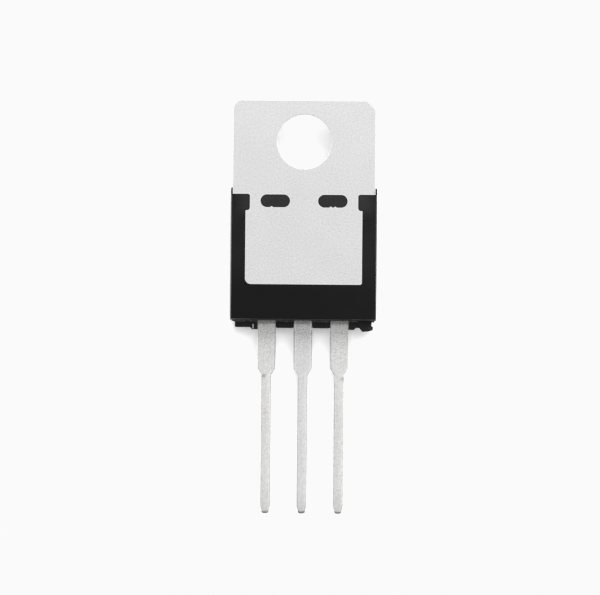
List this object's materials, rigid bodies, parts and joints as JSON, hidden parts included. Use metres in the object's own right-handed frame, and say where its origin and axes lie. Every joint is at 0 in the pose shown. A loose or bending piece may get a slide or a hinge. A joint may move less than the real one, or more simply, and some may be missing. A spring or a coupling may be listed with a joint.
{
  "type": "voltage regulator",
  "caption": "Moulded black power package with a drilled tin-plated heat-sink tab and flat tapered leads, its metal slug bare on the back.",
  "frame": {"origin": "centre of the mounting hole, in the plane of the tab's back face that seats on a heat sink", "axes": "+Z out of the tab's back face, +Y towards the tab's free end, +X towards the input lead; the leads run along -Y and the moulding's front face looks along -Z"},
  "size_m": [0.0102, 0.0288, 0.0045],
  "materials": {
    "mould_compound": "matte",
    "tinned_tab": "matte",
    "tinned_leads": "satin",
    "silicon": "gloss",
    "solder": "satin",
    "bond_wire": "satin"
  },
  "bodies": {
    "root": {"moulded_body": "mould_compound", "heat_sink_tab": "tinned_tab", "output_lead": "tinned_leads", "input_lead": "tinned_leads", "silicon_die": "silicon", "die_solder": "solder", "output_wire": "bond_wire", "sense_wire": "bond_wire", "input_wire": "bond_wire", "ground_wire": "bond_wire"}
  },
  "joints": []
}
